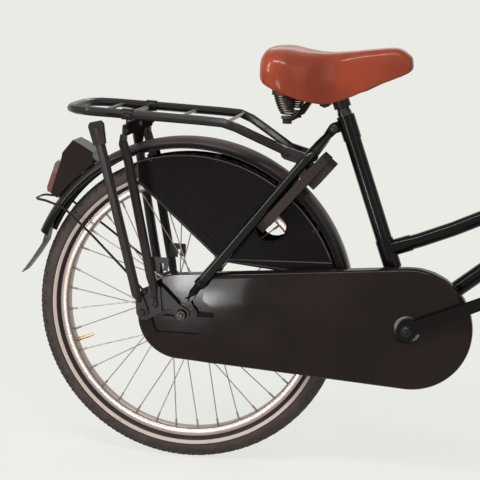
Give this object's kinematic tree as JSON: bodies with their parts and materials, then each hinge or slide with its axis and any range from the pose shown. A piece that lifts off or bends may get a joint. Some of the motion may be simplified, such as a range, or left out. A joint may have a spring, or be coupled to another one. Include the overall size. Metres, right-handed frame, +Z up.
{
  "type": "kids bike",
  "caption": "Step-through bicycle with mudguards, enclosed chain, sprung saddle, rear carrier, wheel lock, two-leg stand, bell and headlamp; wheels, cranks, pedals, steering and stand all move.",
  "frame": {"origin": "on the floor, below the middle of the bicycle's overall length and on its midplane", "axes": "+X forwards, from the rear wheel to the front wheel; +Y to the rider's left; +Z up"},
  "size_m": [1.534, 0.5756, 0.959],
  "materials": {
    "gloss_black": "smooth gloss black enamel",
    "satin_black": "satin black coating",
    "black_rubber": "matt moulded rubber with a pale reflective band",
    "polished_rim": "polished",
    "zinc_steel": "bright zinc plate",
    "coat_guard_vinyl": "smooth vinyl sheet with piped edges",
    "brown_saddle": "smooth leather-look cover",
    "red_lens": "clear-coated lens",
    "clear_lens": "clear-coated lens",
    "dark_plastic": "moulded, slight sheen"
  },
  "bodies": {
    "frame": {"frame": "gloss_black", "seat_stay_left": "gloss_black", "seat_stay_right": "gloss_black", "seat_stay_bolt": "zinc_steel", "rear_fender": "gloss_black", "mud_flap": "black_rubber", "rear_fender_stay": "satin_black", "tail_light_housing": "satin_black", "tail_light_lens": "red_lens", "coat_guard_left": "coat_guard_vinyl", "coat_guard_right": "coat_guard_vinyl", "chain_case_cover": "dark_plastic", "chain_case_back": "dark_plastic", "chain": "zinc_steel", "carrier": "satin_black", "carrier_stay_left": "satin_black", "carrier_stay_right": "satin_black", "axle_plate_left": "satin_black", "axle_plate_right": "satin_black", "rear_axle": "zinc_steel", "ring_lock": "dark_plastic", "bracket_cup_left": "zinc_steel", "bracket_cup_right": "zinc_steel", "headset_lower": "zinc_steel", "brake_arm": "satin_black"},
    "saddle": {"seat_post": "gloss_black", "saddle_clamp": "satin_black", "saddle_frame": "satin_black", "saddle_cover": "brown_saddle", "saddle_spring_left": "satin_black", "saddle_spring_right": "satin_black"},
    "rear_wheel": {"rear_tyre": "black_rubber", "rear_rim": "polished_rim", "rear_hub_and_spokes": "zinc_steel"},
    "sprocket": {"rear_sprocket": "zinc_steel"},
    "crank": {"bracket_spindle": "zinc_steel", "crank_right": "satin_black", "crank_left": "satin_black", "chainring": "zinc_steel"},
    "pedal_right": {"pedal_right": "black_rubber"},
    "pedal_left": {"pedal_left": "black_rubber"},
    "steering": {"fork": "gloss_black", "headset_upper": "zinc_steel", "front_axle": "zinc_steel", "front_fender": "gloss_black", "front_fender_stay": "satin_black", "headlight": "satin_black", "headlight_lens": "clear_lens"},
    "handlebar": {"stem": "zinc_steel", "handlebar": "zinc_steel", "grip_left": "brown_saddle", "grip_right": "brown_saddle", "bell": "polished_rim"},
    "bell_lever": {"bell_lever": "polished_rim"},
    "front_wheel": {"front_tyre": "black_rubber", "front_rim": "polished_rim", "front_hub_and_spokes": "zinc_steel"},
    "stand_right": {"stand_leg_right": "satin_black"},
    "stand_left": {"stand_leg_left": "satin_black"},
    "lock_bolt": {"lock_bolt": "zinc_steel"}
  },
  "joints": [
    {"name": "rear_wheel_spin", "type": "hinge", "parent": "frame", "child": "rear_wheel", "pos_m": [-0.4585, 0, 0.2755], "axis": [0, 1, 0], "continuous": true},
    {"name": "front_wheel_spin", "type": "hinge", "parent": "steering", "child": "front_wheel", "pos_m": [0.4915, 0, 0.2755], "axis": [0, 1, 0], "continuous": true},
    {"name": "crank_turn", "type": "hinge", "parent": "frame", "child": "crank", "pos_m": [-0.065, 0, 0.277], "axis": [0, 1, 0], "continuous": true},
    {"name": "sprocket_turn", "type": "hinge", "parent": "frame", "child": "sprocket", "pos_m": [-0.4585, 0, 0.2755], "axis": [0, 1, 0], "continuous": true},
    {"name": "pedal_right_spin", "type": "hinge", "parent": "crank", "child": "pedal_right", "pos_m": [0.07321, -0.088, 0.34028], "axis": [0, 1, 0], "continuous": true},
    {"name": "pedal_left_spin", "type": "hinge", "parent": "crank", "child": "pedal_left", "pos_m": [-0.20321, 0.088, 0.21372], "axis": [0, 1, 0], "continuous": true},
    {"name": "steering_turn", "type": "hinge", "parent": "frame", "child": "steering", "pos_m": [0.32786, 0, 0.56808], "axis": [-0.3665, 0, 0.9304], "range_deg": [-60, 60]},
    {"name": "saddle_height", "type": "slide", "parent": "frame", "child": "saddle", "axis": [-0.342, 0, 0.9397], "range_m": [-0.008, 0.08]},
    {"name": "handlebar_height", "type": "slide", "parent": "steering", "child": "handlebar", "axis": [-0.3665, 0, 0.9304], "range_m": [-0.012, 0.045]},
    {"name": "bell_lever_push", "type": "hinge", "parent": "handlebar", "child": "bell_lever", "pos_m": [0.2397, 0.26318, 0.93554], "axis": [0, -0.1168, 0.9932], "range_deg": [0, 25], "stiffness_Nm_per_rad": 0.05},
    {"name": "stand_right_fold", "type": "hinge", "parent": "frame", "child": "stand_right", "pos_m": [-0.5285, 0, 0.2752], "axis": [0, -1, 0], "range_deg": [0, 204]},
    {"name": "stand_left_fold", "type": "hinge", "parent": "frame", "child": "stand_left", "pos_m": [-0.5285, 0, 0.2752], "axis": [0, -1, 0], "range_deg": [0, 204]},
    {"name": "lock_bolt_slide", "type": "hinge", "parent": "frame", "child": "lock_bolt", "pos_m": [-0.29719, 0, 0.46911], "axis": [-0.7683, 0, 0.6401], "range_deg": [0, 72], "stiffness_Nm_per_rad": 0.05}
  ],
  "couplings": [
    {"joint": "sprocket_turn", "follows": "crank_turn", "ratio": 2}
  ]
}
